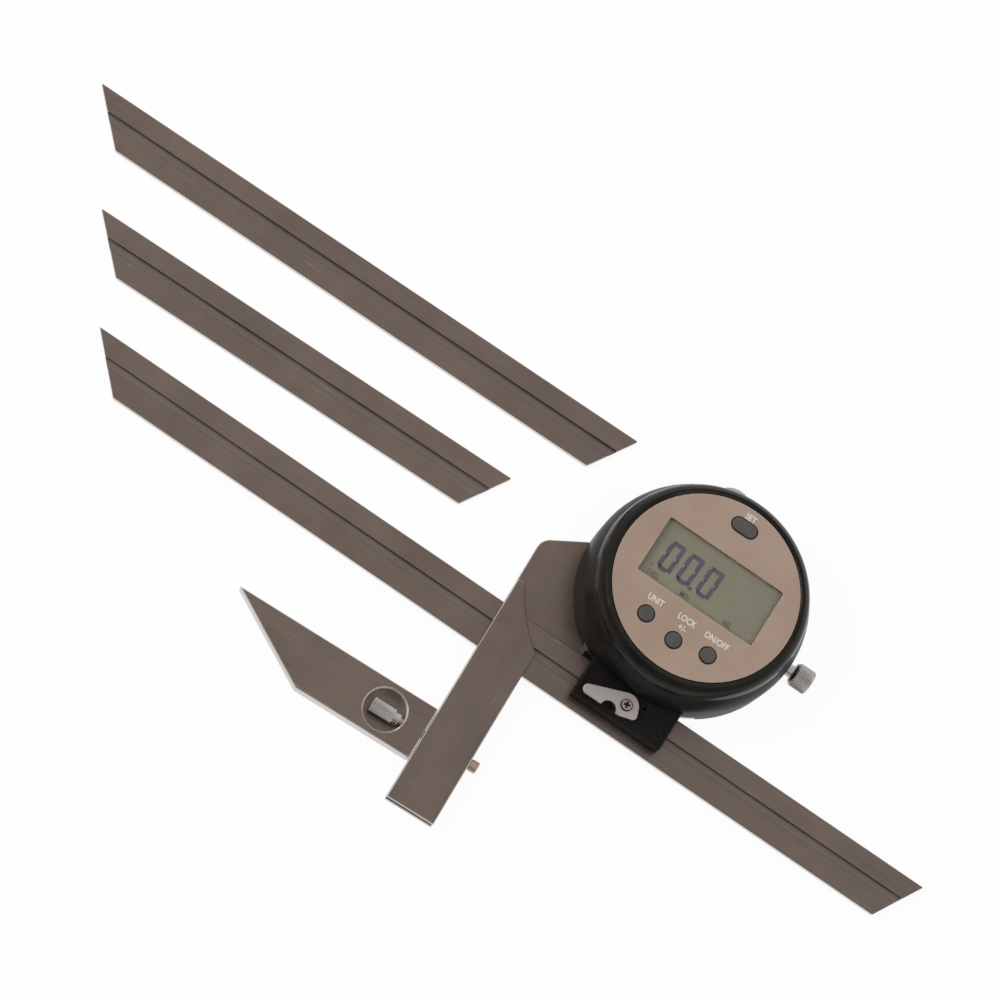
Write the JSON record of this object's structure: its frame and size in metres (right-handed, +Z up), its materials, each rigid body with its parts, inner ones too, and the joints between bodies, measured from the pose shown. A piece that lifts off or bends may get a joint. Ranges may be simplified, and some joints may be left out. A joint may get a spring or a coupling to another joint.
{
  "type": "digital bevel protractor",
  "caption": "Digital bevel protractor: round dial head with a display turning on a slotted stock, a sliding grooved blade, spare blades and an acute-angle attachment.",
  "frame": {"origin": "the head's turning axis where it meets the surface the stock lies on", "axes": "+Z up out of the surface, +X square to the stock's bar from the loose blades towards the head, +Y along the bar from its foot to the head"},
  "size_m": [0.3426, 0.1444, 0.0262],
  "materials": {
    "stock_steel": "fine ground, satin",
    "blade_steel": "fine ground, satin",
    "bright_steel": "bright, machined",
    "black_steel": "black oxide, satin",
    "case_black": "black, semi-matt moulded",
    "bezel_black": "black, glossy",
    "face_champagne": "fine brushed, champagne",
    "lcd_window": "clear, flat",
    "lcd_grey": "grey-green display",
    "button_grey": "dark grey, satin",
    "mat_rubber": "moulded",
    "board_green": "printed board",
    "brass": "machined"
  },
  "bodies": {
    "stock": {"stock_plate": "stock_steel", "stock_bar": "stock_steel", "stock_screw_1": "bright_steel", "stock_screw_2": "bright_steel", "stock_screw_3": "bright_steel", "pivot_hub": "bright_steel", "hub_screw_1": "bright_steel", "hub_screw_2": "bright_steel", "hub_screw_3": "bright_steel", "gear_disc": "brass", "scale_disc": "board_green", "hub_nut": "bright_steel"},
    "head": {"turret_base": "bright_steel", "pivot_bush": "brass", "case": "case_black", "case_screw_1": "bright_steel", "case_screw_2": "bright_steel", "case_screw_3": "bright_steel", "bezel": "bezel_black", "face_plate": "face_champagne", "display_window": "lcd_window", "display_module": "lcd_grey", "display_holder": "case_black", "button_mat": "mat_rubber", "circuit_board": "board_green", "board_screw_1": "bright_steel", "board_screw_2": "bright_steel", "board_screw_3": "bright_steel", "reader_board": "board_green", "coin_cell": "bright_steel", "cell_clip": "bright_steel", "clamp_block": "black_steel", "block_screw_1": "black_steel", "block_screw_2": "black_steel", "guide_key_1": "bright_steel", "guide_key_2": "bright_steel", "block_base_screw_1": "bright_steel", "block_base_screw_2": "bright_steel", "lever_screw": "bright_steel", "wheel_pin": "bright_steel"},
    "long_blade": {"blade_300": "blade_steel"},
    "middle_blade": {"blade_200": "blade_steel"},
    "short_blade": {"blade_150": "blade_steel"},
    "mode_key": {"mode_button": "button_grey"},
    "hold_key": {"hold_button": "button_grey"},
    "zero_key": {"zero_button": "button_grey"},
    "preset_key": {"preset_button": "button_grey"},
    "lever": {"clamp_lever": "bright_steel"},
    "key": {"clamp_key": "bright_steel"},
    "knob": {"lock_knob": "bright_steel"},
    "brake": {"brake_pin": "brass"},
    "wheel": {"fine_wheel": "bright_steel"},
    "attachment": {"attachment_plate": "stock_steel"},
    "nut": {"thumb_nut": "bright_steel"},
    "rod": {"clamp_rod": "bright_steel"}
  },
  "joints": [
    {"name": "head_turn", "type": "hinge", "parent": "stock", "child": "head", "pos_m": [0, 0, 0.0035], "axis": [0, 0, 1], "range_deg": [-3.5, 11]},
    {"name": "blade_slide", "type": "slide", "parent": "head", "child": "long_blade", "axis": [0.9991, -0.0419, 0], "range_m": [-0.075, 0.15]},
    {"name": "mode_press", "type": "slide", "parent": "head", "child": "mode_key", "axis": [0, 0, -1], "range_m": [0, 0.0005], "stiffness_N_per_m": 1500},
    {"name": "hold_press", "type": "slide", "parent": "head", "child": "hold_key", "axis": [0, 0, -1], "range_m": [0, 0.0005], "stiffness_N_per_m": 1500},
    {"name": "zero_press", "type": "slide", "parent": "head", "child": "zero_key", "axis": [0, 0, -1], "range_m": [0, 0.0005], "stiffness_N_per_m": 1500},
    {"name": "preset_press", "type": "slide", "parent": "head", "child": "preset_key", "axis": [0, 0, -1], "range_m": [0, 0.0005], "stiffness_N_per_m": 1500},
    {"name": "lever_turn", "type": "hinge", "parent": "head", "child": "lever", "pos_m": [-0.00168, -0.04006, 0.01055], "axis": [0, 0, 1], "range_deg": [0, 75]},
    {"name": "key_lift", "type": "slide", "parent": "head", "child": "key", "axis": [0, 0, 1], "range_m": [0, 0.0004]},
    {"name": "knob_turn", "type": "hinge", "parent": "head", "child": "knob", "pos_m": [0.04096, -0.00172, 0.0062], "axis": [0.9991, -0.0419, 0], "range_deg": [0, 180]},
    {"name": "brake_press", "type": "slide", "parent": "head", "child": "brake", "axis": [-0.9991, 0.0419, 0], "range_m": [0, 0.0004]},
    {"name": "wheel_turn", "type": "hinge", "parent": "head", "child": "wheel", "pos_m": [-0.00396, 0.03135, 0.009], "axis": [0, 0, 1], "range_deg": [-30, 92]},
    {"name": "attachment_slide", "type": "slide", "parent": "stock", "child": "attachment", "axis": [0, 1, 0], "range_m": [-0.012, 0.002]},
    {"name": "nut_turn", "type": "hinge", "parent": "attachment", "child": "nut", "pos_m": [-0.0621, -0.0786, 0.003], "axis": [1, 0, 0], "range_deg": [0, 720]},
    {"name": "rod_slide", "type": "slide", "parent": "attachment", "child": "rod", "axis": [1, 0, 0], "range_m": [0, 0.001]},
    {"name": "middle_blade_lift", "type": "slide", "parent": "stock", "child": "middle_blade", "axis": [0, 0, 1], "range_m": [0, 0.06]},
    {"name": "short_blade_lift", "type": "slide", "parent": "stock", "child": "short_blade", "axis": [0, 0, 1], "range_m": [0, 0.06]}
  ],
  "couplings": [
    {"joint": "key_lift", "follows": "lever_turn", "m_per_rad": 0.00030527},
    {"joint": "brake_press", "follows": "knob_turn", "m_per_rad": 0.0001272},
    {"joint": "wheel_turn", "follows": "head_turn", "ratio": 8.2353},
    {"joint": "rod_slide", "follows": "nut_turn", "m_per_rad": 0.000079498}
  ]
}
